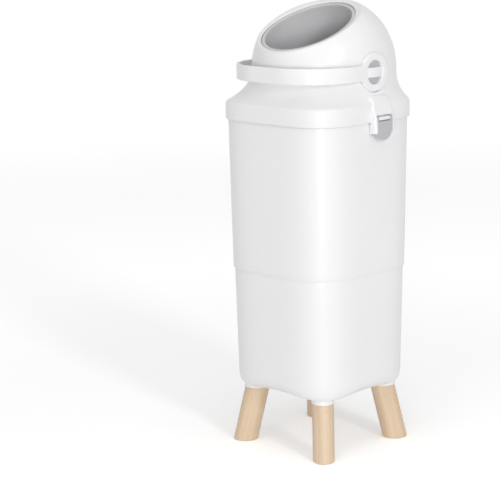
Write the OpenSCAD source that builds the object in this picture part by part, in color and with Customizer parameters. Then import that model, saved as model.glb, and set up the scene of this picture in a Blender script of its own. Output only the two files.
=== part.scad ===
// Nappy bin on four wooden legs: a two-part square body, a hinged domed lid, and a drum that a bail handle
// turns over. Millimetres, +Z up. The origin is on the floor, at the middle of the footprint. The handle
// rests at -Y.

/* [Body] */
// Width of the upper sleeve at its top, across the flats
sleeve_w_top = 258; // [230:1:290]
// Narrowing of the upper sleeve from its top to its lower edge
sleeve_taper = 6; // [2:0.5:12]
// Height of the upper sleeve that shows between the seam and the collar
sleeve_h = 264; // [200:1:320]
// Wall of the upper sleeve
sleeve_wall = 2.8; // [2:0.1:4]
// Step in from the upper sleeve to the lower bucket, at the seam
bucket_step = 1.7; // [1:0.1:3]
// Narrowing of the lower bucket from the seam to its rounded foot
bucket_taper = 5.6; // [2:0.2:12]
// Height of the lower bucket from its base to the seam
bucket_h = 211; // [160:1:280]
// Wall of the lower bucket
bucket_wall = 3; // [2:0.1:4]
// Radius of the rounded edge round the bucket's base
base_r = 24; // [16:1:30]
// Height of the spigot that the bucket pushes up into the sleeve
spigot_h = 25; // [15:1:40]
// Squareness of the body's plan at the collar, 2 is a circle
sq_top = 4.4; // [3.6:0.1:5.4]
// Squareness of the body's plan at the base
sq_bottom = 4; // [3:0.1:5]

/* [Legs] */
// Height of a leg from the floor to its boss
leg_h = 99; // [60:1:120]
// Length of a leg's oval section, along the body's diagonal
leg_l = 44; // [36:1:48]
// Width of a leg's oval section, across the diagonal
leg_w = 38; // [32:1:42]
// Reach of a foot's centre along the diagonal, past half the bucket's lower width, at the floor
foot_out = 13.5; // [4:0.5:20]
// Outward slope of a leg, in degrees
leg_splay = 13; // [8:1:15]
// Drop of the leg bosses below the base
boss_drop = 10; // [4:1:14]
// Diameter of the hanger bolts in the legs
bolt_d = 8; // [6:1:10]
// Length of the hanger bolts
bolt_l = 44; // [36:1:50]

/* [Lid] */
// Stand-out of the collar past the upper sleeve
collar_step = 3.5; // [2.6:0.1:6]
// Height of the collar's straight skirt
skirt_h = 27; // [22:1:34]
// Wall of the collar's skirt
collar_wall = 2; // [1.6:0.1:2.6]
// Wall of the dome
dome_wall = 3; // [2.4:0.1:3.6]
// Distance of the dome's front and back in from the collar's width
dome_inset = 7.5; // [4:0.5:10]
// Distance of the dome's sides in from the collar's width, at the drum's axis
side_inset = 17; // [14:0.5:20]
// Height of the drum's axis above the collar's lower edge
pivot_h = 83; // [81:0.5:86]
// Set-back of the drum's axis from the body's axis
pivot_back = 13; // [8:0.5:14]
// Forward lean of the dome's opening, in degrees
lean = 25.5; // [20:0.5:30]
// Distance of the opening's edge in from the drum's flat cheeks
opening_inset = 11.5; // [10:0.5:20]

/* [Drum] */
// Clearance between the drum's ball and the inside of the dome
drum_clear = 4.5; // [4:0.1:6]
// Clearance between the drum's flat cheeks and the inside of the dome, at the axles
cheek_clear = 15.5; // [14:0.5:20]
// Wall of the drum's shells
drum_wall = 2.5; // [2:0.1:3]
// Width of the pale ring round each end of the tube
rim_w = 4.3; // [3.6:0.1:8]
// Wall of the tube
tube_wall = 2.4; // [2:0.1:2.6]
// Radius of the drum's axles
axle_r = 20.4; // [16:0.1:22]
// Height of the piston in the tube
piston_h = 44; // [36:1:60]

/* [Handle] */
// Stand-out of the handle's hubs past the dome's sides
hub_out = 5.5; // [5:0.1:9]
// Reach of the handle's outer face past the dome's front
handle_out = 20; // [14:1:40]
// Height of the handle's band
band_h = 27; // [20:0.5:30]
// Thickness of the handle's band
band_t = 5; // [4:0.1:5]
// Outer radius of the handle's two bends
bend_r = 94; // [70:1:100]
// Radius of the handle's round hubs
hub_r = 33.5; // [30:0.5:36]

/* [Latch and hinge] */
// Stand-out of the latch and of the hinge past the collar
side_out = 11.5; // [10.5:0.5:16]
// Width of the latch's grey lever
lever_w = 39; // [30:1:42]
// Thickness of each cheek beside the lever
cheek_t = 7; // [5:0.5:9]
// Drop of the latch's cheeks below the collar
cheek_drop = 18; // [14:1:24]
// Diameter of the latch pin
latch_pin_d = 3; // [2:0.5:3]
// Diameter of the lid's hinge pin
hinge_pin_d = 5; // [4:0.5:6]
// Width of the lid's hinge knuckle
knuckle_w = 36; // [24:1:50]

/* [Hidden] */

// Points round a squircle ring, and facets on round shapes
ring_n = 64;
$fn = 72;

// Levels, from the floor up
base_z = leg_h + boss_drop;
seam_z = base_z + bucket_h;
collar_z = seam_z + sleeve_h;
crease_z = collar_z + skirt_h;
pivot_z = collar_z + pivot_h;
// Height at which the shoulder has become the dome
merge_z = pivot_z - 7;

// Widths across the flats, from the sleeve's top down, and the collar's
sleeve_w_bottom = sleeve_w_top - sleeve_taper;
bucket_w_top = sleeve_w_bottom - 2 * bucket_step;
bucket_w_bottom = bucket_w_top - bucket_taper;
collar_w = sleeve_w_top + 2 * collar_step;
side_reach = collar_w / 2 + side_out;

// The dome, the drum inside it and the handle round it
dome_r = collar_w / 2 - dome_inset;
dome_side = collar_w / 2 - side_inset;
drum_r = dome_r - dome_wall - drum_clear;
drum_half_w = dome_side - dome_wall - cheek_clear;
opening_r = drum_half_w - opening_inset;
handle_x = dome_side + hub_out;
handle_reach = dome_r + handle_out;

// Length that reaches past the whole lid, for cuts
past = 2 * collar_w;

// The body's axis stands here, so that the whole bin's footprint is centred on the origin
dome_back = pivot_back + dome_r;
handle_front = handle_reach - pivot_back;
body_y = (handle_front - dome_back) / 2;

// Share of the base's rounded edge that is left off at the corners
corner_keep = 0.65;

// Clearances between pieces
slip = 0.6;
fit = 0.05;
gap = 0.4;

// The sleeve's neck inside the collar
collar_in = collar_w / 2 - collar_wall;
neck_step_z = collar_z + 4;
neck_a = collar_in - 3.4;
neck_top_z = collar_z + 14;
neck_wall = 3;

// The drum and its tube
rim_outer = opening_r - 1.2;
tube_r = rim_outer - rim_w;
rim_top = sqrt(drum_r * drum_r - rim_outer * rim_outer);
rim_h = 5;
rim_lip = 2;
tube_half = rim_top - 3;
piston_gap = 0.5;
weight_inset = 34;
weight_t = 8;
ring_z = 18;
ring_h = 6;
ring_d = 1.6;
piston_rest = -(rim_top - rim_h - gap);
piston_travel = 2 * (rim_top - rim_h - gap) - piston_h;
lip_z = rim_top + 1.6;
lip_air = 40;
seal_r0 = opening_r + 4;
seal_r1 = opening_r + 8.8;
seal_z = sqrt(drum_r * drum_r - seal_r0 * seal_r0) + gap;
drum_screw_r = 1.5;
drum_screw_reach = drum_r - 8.5;
drum_screw_ang = 50;
dome_pow = 2.5;
shoulder_pow = 2.2;
hub_base = dome_side - 1.6;
hub_key_h = 17;

// The throat under the drum
base_plate_z = neck_top_z + 2.5;
base_plate_t = 3;
plate_top_z = base_plate_z + base_plate_t;
throat_r = sqrt(drum_r * drum_r - pow(pivot_z - plate_top_z, 2)) + 3;
throat_lip_h = 10;
screw_inset = 12.655;
screw_reach = squircle_at(collar_in, sq_top, 45) - screw_inset;
screw_r = 1.8;
screw_head_r = 3.6;
screw_head_h = 2;
screw_top_z = crease_z - 1;

// The latch on the right and the hinge on the left
window_w = lever_w + 1.6;
latch_y = pivot_back;
latch_top_z = crease_z + 16;
window_z = collar_z + 13;
cheek_z = collar_z - cheek_drop;
lever_pin_z = collar_z + 6.5;
lever_pin_x = side_reach - 5.8;
lever_knuckle_r = 3.6;
lever_t = 4.5;
lever_face = side_reach - 2;
lever_top_z = lever_pin_z - 4.5;
lever_arm = 5;
barrel_w = lever_w - 2 * (lever_arm + gap);
lever_bottom_z = cheek_z - 12.5;
ledge_reach = 4;
ledge_z = collar_z - 13;
nose_z = ledge_z - 5;
hinge_r = 5.5;
hinge_x = side_reach - hinge_r;
hinge_z = collar_z - 4;
end_knuckle_w = 12;
hinge_half = knuckle_w / 2 + gap + end_knuckle_w;

WHITE = [0.93, 0.93, 0.94];
PALE = [0.8, 0.8, 0.78];
GREY = [0.62, 0.62, 0.65];
DARK = [0.35, 0.35, 0.37];
WOOD = [0.87, 0.75, 0.6];
STEEL = [0.7, 0.71, 0.73];

// ---------- shared shapes ----------

// Height of the drum's ball above a plane through its axle, at a distance r from the tube's axis
function ball_z(r) = sqrt(drum_r * drum_r - r * r);

// Distance from the middle to a squircle of half width a and squareness m, at an angle
function squircle_at(a, m, ang) = a / pow(pow(abs(cos(ang)), m) + pow(abs(sin(ang)), m), 1 / m);

// One level ring of a squircle
function squircle_ring(a, m, z) = [for (i = [0 : ring_n - 1])
    let (ang = 360 * i / ring_n, r = squircle_at(a, m, ang)) [r * cos(ang), r * sin(ang), z]];

// Radius of the dome round the drum's axis, at a distance x along that axis
function dome_at(r, side, x) = r * pow(1 - pow(min(abs(x) / side, 1), dome_pow), 1 / dome_pow);

// One level ring of the dome, at height h above the drum's axis
function dome_ring(r, side, h) = let (reach = side * pow(1 - pow(abs(h) / r, dome_pow), 1 / dome_pow))
    [for (i = [0 : ring_n - 1])
        let (ang = 360 * i / ring_n, x = reach * cos(ang), rho = dome_at(r, side, x))
        [x, pivot_back + sign(round(1000 * sin(ang))) * sqrt(max(rho * rho - h * h, 0)), pivot_z + h]];

// Two rings mixed point by point, w from 0 to 1
function mix_rings(p, q, w) = [for (i = [0 : len(p) - 1]) p[i] * (1 - w) + q[i] * w];

// Skin over a stack of equal rings; a closed stack joins its last ring to its first, an open one is capped
module skin(rings, closed = false) {
    n = len(rings[0]);
    last = closed ? len(rings) - 1 : len(rings) - 2;
    sides = [for (j = [0 : last], i = [0 : n - 1])
        let (k = (j + 1) % len(rings), l = (i + 1) % n)
        each [[j * n + i, k * n + i, k * n + l], [j * n + i, k * n + l, j * n + l]]];
    caps = closed ? [] : [[for (i = [0 : n - 1]) i], [for (i = [n - 1 : -1 : 0]) (len(rings) - 1) * n + i]];
    polyhedron(points = [for (ring = rings) each ring], faces = concat(sides, caps), convexity = 8);
}

// Children drawn at +X, and again at -X
module both_sides() {
    for (m = [0, 1]) mirror([m, 0, 0]) children();
}

// Everything is drawn round the body's axis and moved here as one
module placed() {
    translate([0, body_y, 0]) children();
}

// Children drawn in the drum's own frame: +Z out of the dome's opening, +X along the axles
module in_drum() {
    translate([0, pivot_back, pivot_z]) rotate([lean, 0, 0]) children();
}

// A ring turned round the drum's tube from a list of [radius, height] points
module turned(points) {
    in_drum() rotate_extrude() polygon(points);
}

// A disc along X, from x0 to x1, at a place in the YZ plane
module disc_x(r, x0, x1, y, z) {
    translate([x0, y, z]) rotate([0, 90, 0]) cylinder(r = r, h = x1 - x0);
}

// A disc along Y, from y0 to y1, at a place in the XZ plane
module disc_y(r, y0, y1, x, z) {
    translate([x, y1, z]) rotate([90, 0, 0]) cylinder(r = r, h = y1 - y0);
}

// ---------- legs ----------

// Distance of a leg's centre from the body's axis, at a height
function leg_reach(z) = bucket_w_bottom / 2 + foot_out - z * tan(leg_splay);

// Oval slice of a leg on the diagonal at +X +Y, grown by g
module leg_slice(z, g, t = 0.01) {
    rotate(45) translate([leg_reach(z), 0, z]) linear_extrude(t)
        resize([leg_l + 2 * g, leg_w + 2 * g]) circle(10, $fn = 28);
}

// Turn and mirror the leg at +X +Y to another corner
module to_corner(sx, sy) {
    mirror([sx < 0 ? 1 : 0, 0, 0]) mirror([0, sy < 0 ? 1 : 0, 0]) children();
}

// Straight bolt in the middle of the leg joint, grown by g
module leg_bolt(g) {
    rotate(45) translate([leg_reach(leg_h), 0, leg_h]) rotate([0, -leg_splay, 0])
        translate([0, 0, -bolt_l / 2 - g]) cylinder(d = bolt_d + 2 * g, h = bolt_l + 2 * g, $fn = 32);
}

module leg(sx, sy) {
    color(WOOD) placed() to_corner(sx, sy) difference() {
        hull() {
            leg_slice(0, -3);
            leg_slice(1, -1.2);
            leg_slice(3, 0);
            leg_slice(leg_h - 1.5, 0);
            leg_slice(leg_h - 0.01, -1);
        }
        leg_bolt(fit);
    }
}

module leg_bolts() {
    color(STEEL) placed() for (sx = [-1, 1], sy = [-1, 1]) to_corner(sx, sy) leg_bolt(0);
}

// ---------- body ----------

// One ring of the rounded edge round the base, full on the flats and slight at the corners, over the legs
function base_ring(a, r, z, turn) = [for (i = [0 : ring_n - 1])
    let (ang = 360 * i / ring_n, inset = r * (1 - cos(turn)) * (1 - corner_keep * pow(sin(2 * ang), 2)),
        reach = squircle_at(a, sq_bottom, ang) - inset)
        [reach * cos(ang), reach * sin(ang), z + r * (1 - sin(turn))]];

module lower_bucket() {
    a0 = bucket_w_bottom / 2;
    a1 = bucket_w_top / 2;
    spigot_a = sleeve_w_bottom / 2 - sleeve_wall - slip;
    in_a = spigot_a - bucket_wall;
    sq_seam = sq_bottom + 0.15;
    color(WHITE) placed() difference() {
        union() {
            skin(concat(
                [for (i = [0 : 6]) base_ring(a0, base_r, base_z, 90 - 15 * i)],
                [squircle_ring(a1, sq_seam, seam_z - 1),
                    squircle_ring(a1 - 0.6, sq_seam, seam_z),
                    squircle_ring(spigot_a, sq_seam, seam_z),
                    squircle_ring(spigot_a, sq_seam, seam_z + spigot_h - 1.5),
                    squircle_ring(spigot_a - 1, sq_seam, seam_z + spigot_h),
                    squircle_ring(in_a, sq_seam, seam_z + spigot_h),
                    squircle_ring(in_a, sq_seam, seam_z - 8),
                    squircle_ring(a1 - bucket_wall, sq_seam, seam_z - 14)],
                [for (i = [0 : 3])
                    base_ring(a0 - bucket_wall, base_r - bucket_wall, base_z + bucket_wall, 30 * i)]));
            for (sx = [-1, 1], sy = [-1, 1]) to_corner(sx, sy) hull() {
                leg_slice(leg_h, 0.2);
                leg_slice(leg_h + 1, 0.8);
                leg_slice(base_z + 4, 3.5);
                leg_slice(leg_h + bolt_l / 2 + 3, 1.2);
            }
        }
        for (sx = [-1, 1], sy = [-1, 1]) to_corner(sx, sy) leg_bolt(fit);
    }
}

// Ledge on the sleeve's right wall that the latch's nose catches under
module catch_ledge() {
    translate([sleeve_w_top / 2 - 2, latch_y - 11, ledge_z]) cube([ledge_reach + 2, 22, 2.5]);
}

// Body side of the hinge: two knuckles on brackets below the collar
module body_knuckles() {
    w = end_knuckle_w;
    for (s = [-1, 1]) {
        y0 = s * (knuckle_w / 2 + gap + w / 2) - w / 2;
        disc_y(hinge_r, y0, y0 + w, -hinge_x, hinge_z);
        translate([0, y0 + w, 0]) rotate([90, 0, 0]) linear_extrude(w) polygon([
            [-hinge_x - hinge_r, hinge_z], [-sleeve_w_top / 2 + 1, hinge_z - 1],
            [-sleeve_w_top / 2 + 1, hinge_z - 26], [-hinge_x - hinge_r * 0.7, hinge_z - hinge_r * 0.7]]);
    }
}

module upper_sleeve() {
    a0 = sleeve_w_bottom / 2;
    a1 = sleeve_w_top / 2;
    sq_seam = sq_bottom + 0.2;
    color(WHITE) placed() difference() {
        union() {
            skin([squircle_ring(a0 - 0.8, sq_seam, seam_z),
                squircle_ring(a0, sq_seam, seam_z + 0.8),
                squircle_ring(a1, sq_top, neck_step_z - 0.6),
                squircle_ring(a1 - 0.6, sq_top, neck_step_z),
                squircle_ring(neck_a, sq_top, neck_step_z + 1.5),
                squircle_ring(neck_a, sq_top, neck_top_z - 0.8),
                squircle_ring(neck_a - 0.8, sq_top, neck_top_z),
                squircle_ring(neck_a - neck_wall, sq_top, neck_top_z),
                squircle_ring(neck_a - neck_wall, sq_top, neck_step_z - 6),
                squircle_ring(a1 - sleeve_wall, sq_top, neck_step_z - 10),
                squircle_ring(a0 - sleeve_wall, sq_seam, seam_z)], closed = true);
            catch_ledge();
            body_knuckles();
        }
        disc_y(hinge_pin_d / 2 + fit, -hinge_half - 1, hinge_half + 1, -hinge_x, hinge_z);
    }
}

module hinge_pin() {
    color(STEEL) placed() disc_y(hinge_pin_d / 2, -hinge_half, hinge_half, -hinge_x, hinge_z);
}

// ---------- lid ----------

// Ring of the shoulder between the collar's crease and the dome, t from 0 to 1
function shoulder_ring(a, r, side, t) = let (z = crease_z + 4 + t * (merge_z - crease_z - 4))
    mix_rings(squircle_ring(a, sq_top, z), dome_ring(r, side, z - pivot_z), 1 - pow(1 - t, shoulder_pow));

// Ring of the dome at an angle above its axis
function high_ring(r, side, ang) = dome_ring(r, side, r * sin(ang));

// Bracket round the latch: a wedge that stands off the collar and hangs below it
module latch_bracket() {
    w = window_w + 2 * cheek_t;
    wall_x = sleeve_w_top / 2 + gap;
    translate([0, latch_y + w / 2, 0]) rotate([90, 0, 0]) linear_extrude(w) polygon([
        [wall_x, cheek_z + 3], [wall_x, collar_z], [collar_w / 2 - 1, collar_z],
        [collar_w / 2 - 1, crease_z], [collar_w / 2 - 4, latch_top_z - 2], [collar_w / 2 - 1, latch_top_z],
        [collar_w / 2 + 3, latch_top_z - 1], [side_reach - 4, collar_z + 20], [side_reach - 1, collar_z + 4],
        [side_reach, cheek_z + 4], [side_reach - 2, cheek_z]]);
}

// Hollow in the bracket for the lever, open at the front and at the bottom
module latch_window() {
    x0 = collar_w / 2 + 1.2;
    translate([x0, latch_y - window_w / 2, collar_z]) cube([past, window_w, window_z - collar_z]);
    translate([sleeve_w_top / 2, latch_y - window_w / 2, cheek_z - 10])
        cube([past, window_w, collar_z - cheek_z + 10.01]);
}

// Barrel round the latch pin, on a web from the collar's wall; the lever's arms stand at its two ends
module latch_barrel() {
    y0 = latch_y - barrel_w / 2;
    web = 4;
    disc_y(lever_knuckle_r, y0, y0 + barrel_w, lever_pin_x, lever_pin_z);
    translate([collar_in, y0, lever_pin_z - web / 2]) cube([lever_pin_x - collar_in, barrel_w, web]);
}

// Flange that carries the dome's lip inwards to the opening, clear of the turning drum
module lip_flange() {
    turned([[opening_r - 1, ball_z(opening_r - 1) + slip], [opening_r + 3.5, ball_z(opening_r + 3.5) + slip],
        [seal_r1 + 0.2, seal_z], [opening_r + 10, lip_z - 6], [opening_r + 8, lip_z + 1],
        [opening_r - 1, lip_z + 4]]);
}

// Cut that opens the dome: a plain bore, a rounded lip and clear air above it
module lip_cut() {
    turned([[0, lip_z - 30], [opening_r, lip_z - 30], [opening_r, lip_z - 1.5],
        [opening_r + 0.5, lip_z - 0.4], [opening_r + 1.8, lip_z + 0.2], [opening_r + 6.5, lip_z + 0.8],
        [opening_r + 8.5, lip_z + 2], [opening_r + 10, lip_z + 4],
        [opening_r + lip_air, lip_z + 1.5 * lip_air], [0, lip_z + 1.5 * lip_air]]);
}

// Boss for a lid screw, in the corner of the collar
module lid_boss() {
    rotate(45) {
        translate([screw_reach, 0, plate_top_z]) cylinder(r = 4.5, h = screw_top_z - plate_top_z, $fn = 32);
        translate([screw_reach, -1.5, plate_top_z]) cube([screw_inset + 1, 3, screw_top_z - plate_top_z]);
    }
}

// Screw up through the lid's base into its boss, grown by g
module lid_screw(g) {
    rotate(45) translate([screw_reach, 0, base_plate_z - 0.01]) {
        cylinder(r = screw_r + g, h = screw_top_z - base_plate_z - 2 + g, $fn = 32);
        translate([0, 0, -screw_head_h]) cylinder(r = screw_head_r, h = screw_head_h + 0.01, $fn = 32);
    }
}

// Lid side of the hinge: one knuckle between the body's two
module lid_knuckle() {
    disc_y(hinge_r, -knuckle_w / 2, knuckle_w / 2, -hinge_x, hinge_z);
    translate([0, knuckle_w / 2, 0]) rotate([90, 0, 0]) linear_extrude(knuckle_w) polygon([
        [-hinge_x - hinge_r, hinge_z], [-hinge_x + hinge_r, hinge_z], [-collar_w / 2 + 1, collar_z + 1],
        [-collar_w / 2 + 1, collar_z + 22]]);
}

module lid_housing() {
    a = collar_w / 2;
    in_r = dome_r - dome_wall;
    in_side = dome_side - dome_wall;
    top = 69;
    color(WHITE) placed() difference() {
        union() {
            skin(concat(
                [squircle_ring(a - 0.8, sq_top, collar_z),
                    squircle_ring(a, sq_top, collar_z + 0.8),
                    squircle_ring(a, sq_top, crease_z - 2),
                    squircle_ring(a - 0.5, sq_top, crease_z + 1)],
                [for (t = [0 : 0.125 : 0.875]) shoulder_ring(a - 2, dome_r, dome_side, t)],
                [for (ang = [asin((merge_z - pivot_z) / dome_r) : 7 : top])
                    high_ring(dome_r, dome_side, ang)],
                [for (ang = [top - 3 : -10 : asin((merge_z - pivot_z) / in_r)])
                    high_ring(in_r, in_side, ang)],
                [for (t = [0.9 : -0.2 : 0.1]) shoulder_ring(collar_in - 1.5, in_r, in_side, t)],
                [squircle_ring(collar_in, sq_top, crease_z - 3),
                    squircle_ring(collar_in, sq_top, collar_z)]), closed = true);
            lip_flange();
            both_sides() disc_x(axle_r + 5, drum_half_w + 2.5, dome_side - 2, pivot_back, pivot_z);
            difference() {
                latch_bracket();
                latch_window();
            }
            latch_barrel();
            lid_knuckle();
            for (sx = [-1, 1], sy = [-1, 1]) to_corner(sx, sy) lid_boss();
        }
        lip_cut();
        both_sides() {
            disc_x(axle_r + fit, drum_half_w, past, pivot_back, pivot_z);
            disc_x(hub_r + gap, hub_base, past, pivot_back, pivot_z);
        }
        disc_y(latch_pin_d / 2 + fit, latch_y - window_w / 2 - 5, latch_y + window_w / 2 + 5, lever_pin_x,
            lever_pin_z);
        disc_y(hinge_pin_d / 2 + fit, -hinge_half - 1, hinge_half + 1, -hinge_x, hinge_z);
        for (sx = [-1, 1], sy = [-1, 1]) to_corner(sx, sy) lid_screw(fit);
    }
}

// Filled plan of a squircle at the collar's squareness
module flat_squircle(a) {
    polygon([for (p = squircle_ring(a, sq_top, 0)) [p[0], p[1]]]);
}

// Plate under the lid's mechanism, with a round throat and a lip that holds the bag open
module lid_base() {
    color(WHITE) placed() difference() {
        union() {
            translate([0, 0, base_plate_z]) linear_extrude(base_plate_t) flat_squircle(collar_in - gap);
            translate([0, pivot_back, base_plate_z - throat_lip_h])
                cylinder(r = throat_r + 2.4, h = throat_lip_h + 1);
        }
        translate([0, pivot_back, base_plate_z - throat_lip_h - 1])
            cylinder(r = throat_r, h = throat_lip_h + 10);
        for (sx = [-1, 1], sy = [-1, 1]) to_corner(sx, sy) lid_screw(fit);
    }
}

module lid_screws() {
    color(STEEL) placed() for (sx = [-1, 1], sy = [-1, 1]) to_corner(sx, sy) lid_screw(0);
}

// Gasket under the lid's base, over the sleeve's rim
module rim_gasket() {
    color(DARK) placed() translate([0, 0, neck_top_z + gap])
        linear_extrude(base_plate_z - neck_top_z - gap) difference() {
            flat_squircle(neck_a - 0.4);
            flat_squircle(neck_a - 2.8);
        }
}

// Radius of the drum's ball at a level
function ball_at(z) = sqrt(drum_r * drum_r - pow(pivot_z - z, 2));

// Wiper ring on the lid's base, close round the drum
module throat_seal() {
    h = 3;
    color(DARK) placed() translate([0, pivot_back, 0]) rotate_extrude() polygon([
        [ball_at(plate_top_z) + gap, plate_top_z], [throat_r + 5, plate_top_z],
        [throat_r + 5, plate_top_z + h - 1.5], [throat_r + 2, plate_top_z + h],
        [ball_at(plate_top_z + h) + gap, plate_top_z + h]]);
}

// Wiper ring under the lip of the dome's opening
module opening_seal() {
    color(DARK) placed() turned([[seal_r0, seal_z], [seal_r1, seal_z], [seal_r1, ball_z(seal_r1) + gap]]);
}

// ---------- drum ----------

// One ball half, s = 1 for the half that is up at rest
module drum_half(s) {
    slab = 2 * drum_half_w;
    color(PALE) placed() in_drum() difference() {
        union() {
            difference() {
                intersection() {
                    sphere(drum_r);
                    cube([slab, past, past], center = true);
                }
                intersection() {
                    sphere(drum_r - drum_wall);
                    cube([slab - 2 * drum_wall, past, past], center = true);
                }
            }
            both_sides() disc_x(axle_r + 4, drum_half_w - 12, drum_half_w, 0, 0);
            for (m = [-1, 1], n = [-1, 1]) drum_screw_place(m, n)
                cylinder(r = 6.5, h = 28, center = true, $fn = 32);
        }
        cylinder(r = rim_outer + gap, h = past, center = true);
        both_sides() disc_x(axle_r + fit, drum_half_w - 20, drum_half_w + 5, 0, 0);
        for (m = [-1, 1], n = [-1, 1]) drum_screw_place(m, n) drum_screw(fit);
        translate([0, 0, -past / 2 * s]) cube([past, past, past], center = true);
    }
}

// Places of the four screws that join the halves
module drum_screw_place(m, n) {
    translate([m * drum_screw_reach * cos(drum_screw_ang), n * drum_screw_reach * sin(drum_screw_ang), 0])
        children();
}

// Screw across the halves' joint, grown by g
module drum_screw(g) {
    translate([0, 0, -12 - g]) cylinder(r = drum_screw_r + g, h = 24 + 2 * g, $fn = 32);
    translate([0, 0, -14.01]) cylinder(r = 3.2 + g, h = 2.01, $fn = 32);
}

module drum_screws() {
    color(STEEL) placed() in_drum() for (m = [-1, 1], n = [-1, 1]) drum_screw_place(m, n) drum_screw(0);
}

// Smooth tube right through the drum
module drum_tube() {
    color(GREY) placed() turned([[tube_r, -tube_half], [tube_r + tube_wall, -tube_half],
        [tube_r + tube_wall, tube_half], [tube_r, tube_half]]);
}

// Pale ring that caps one end of the tube, s = 1 for the end that is up at rest
module tube_rim(s) {
    r0 = tube_r - rim_lip;
    z0 = rim_top - rim_h;
    color(PALE) placed() in_drum() mirror([0, 0, s > 0 ? 0 : 1]) rotate_extrude() polygon([
        [r0, z0], [tube_r - fit, z0], [tube_r - fit, tube_half + fit],
        [tube_r + tube_wall + fit, tube_half + fit], [tube_r + tube_wall + fit, z0], [rim_outer, z0],
        [rim_outer, rim_top - 1.6], [rim_outer - 0.6, rim_top - 0.3], [rim_outer - 2, rim_top + 0.7],
        [r0 + 2, rim_top + 0.7], [r0 + 0.5, rim_top], [r0, rim_top - 1.5]]);
}

// Stub axle from the drum out to the handle's hub, s = 1 on the right
module axle(s) {
    x0 = drum_half_w - 12;
    x1 = handle_x - 5;
    slot = 2.6;
    color(GREY) placed() in_drum() mirror([s > 0 ? 0 : 1, 0, 0]) difference() {
        disc_x(axle_r, x0, x1, 0, 0);
        disc_x(axle_r - 6, x0 - 1, x1 - 6, 0, 0);
        rotate([-lean, 0, 0]) translate([x1 - slot - gap / 2, -axle_r - 1, -hub_key_h / 2 - fit])
            cube([slot + 5, 2 * axle_r + 2, hub_key_h + 2 * fit]);
    }
}

// ---------- handle ----------

// Middle line of the band, from the right hub round the front to the left hub
function band_line() = let (x = handle_x - band_t / 2, y = band_t / 2 - handle_reach,
    r = bend_r - band_t / 2, n = 10)
    concat([[x, 0]], [for (i = [0 : n]) [x - r + r * cos(90 * i / n), y + r - r * sin(90 * i / n)]],
        [for (i = [n : -1 : 0]) [r - x - r * cos(90 * i / n), y + r - r * sin(90 * i / n)]], [[-x, 0]]);

// Heading along a line of points, at point i
function heading(line, i) = let (a = line[max(i - 1, 0)], b = line[min(i + 1, len(line) - 1)])
    (b - a) / norm(b - a);

// The band's rounded section, as [across, up] points
function band_section() = let (a = band_t / 2, b = band_h / 2, r = 1.8, k = 0.55)
    [[a, -b + r], [a, b - r], [a - r * k, b - r * (1 - k) / 2], [a - r, b], [r - a, b],
        [r * k - a, b - r * (1 - k) / 2], [-a, b - r], [-a, r - b], [r * k - a, r * (1 - k) / 2 - b],
        [r - a, -b], [a - r, -b], [a - r * k, r * (1 - k) / 2 - b]];

module handle_band() {
    line = band_line();
    skin([for (i = [0 : len(line) - 1]) let (h = heading(line, i))
        [for (p = band_section()) [line[i][0] - h[1] * p[0], line[i][1] + h[0] * p[0], p[1]]]]);
}

// Round hub over an axle, with a rounded rim, a hole and a key bar across it
module handle_hub() {
    x0 = hub_base + gap;
    hole = axle_r + 0.1;
    edge = 3;
    rotate([0, 90, 0]) rotate_extrude() polygon(concat([[hole, x0], [hub_r, x0]],
        [for (t = [0 : 15 : 90]) [hub_r - edge + edge * cos(t), handle_x - edge + edge * sin(t)]],
        [[hole, handle_x]]));
    intersection() {
        translate([x0, -axle_r - 2, -hub_key_h / 2]) cube([handle_x - 1.5 - x0, 2 * axle_r + 4, hub_key_h]);
        disc_x(hole + 1, drum_half_w, handle_x, 0, 0);
    }
}

// Concave fillet where the band's edge runs into the hub, s = 1 above and -1 below
module hub_fillet(s) {
    r = 10;
    b = band_h / 2;
    v = b + r;
    u = sqrt(pow(hub_r + r, 2) - v * v);
    k = hub_r / (hub_r + r);
    translate([handle_x - band_t + 0.3, 0, 0]) rotate([90, 0, 90]) linear_extrude(band_t - 1)
        mirror([0, s > 0 ? 0 : 1]) difference() {
            polygon([[-20, b - 4], [-u, b - 4], [-u, v], [-u * k, v * k]]);
            translate([-u, v]) circle(r);
        }
}

module handle() {
    color(WHITE) placed() translate([0, pivot_back, pivot_z]) {
        difference() {
            handle_band();
            both_sides() disc_x(axle_r + 0.1, drum_half_w, past, 0, 0);
        }
        both_sides() {
            handle_hub();
            hub_fillet(1);
            hub_fillet(-1);
        }
    }
}

// ---------- piston ----------

// Cup that slides in the tube; its closed face is the one nearer the throat at rest
module piston() {
    r = tube_r - piston_gap;
    z0 = piston_rest;
    z1 = piston_rest + piston_h - 2.6;
    w = 2.4;
    g0 = z0 + ring_z;
    g1 = g0 + ring_h;
    color(GREY) placed() turned([[0, z0], [r - 2, z0], [r, z0 + 2], [r, g0], [r - ring_d, g0],
        [r - ring_d, g1], [r, g1], [r, z1], [r - w - 2, z1], [r - w - 2, z0 + w], [0, z0 + w]]);
}

// Heavy plate inside the piston
module piston_weight() {
    r = tube_r - weight_inset;
    z0 = piston_rest + 2.4;
    color(STEEL) placed() turned([[0, z0], [r, z0], [r, z0 + weight_t], [0, z0 + weight_t]]);
}

// Lid of the piston, its other face
module piston_cover() {
    r = tube_r - piston_gap;
    z1 = piston_rest + piston_h;
    color(GREY) placed() turned([[0, z1 - 2.6], [r, z1 - 2.6], [r, z1 - 1.5], [r - 1.5, z1], [0, z1]]);
}

// Soft ring in the piston's groove
module piston_ring() {
    r = tube_r - piston_gap;
    z0 = piston_rest + ring_z;
    z1 = z0 + ring_h;
    color(DARK) placed()
        turned([[r - ring_d, z0], [tube_r - 0.3, z0 + 1], [tube_r - 0.3, z1 - 1], [r - ring_d, z1]]);
}

// ---------- latch ----------

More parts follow.
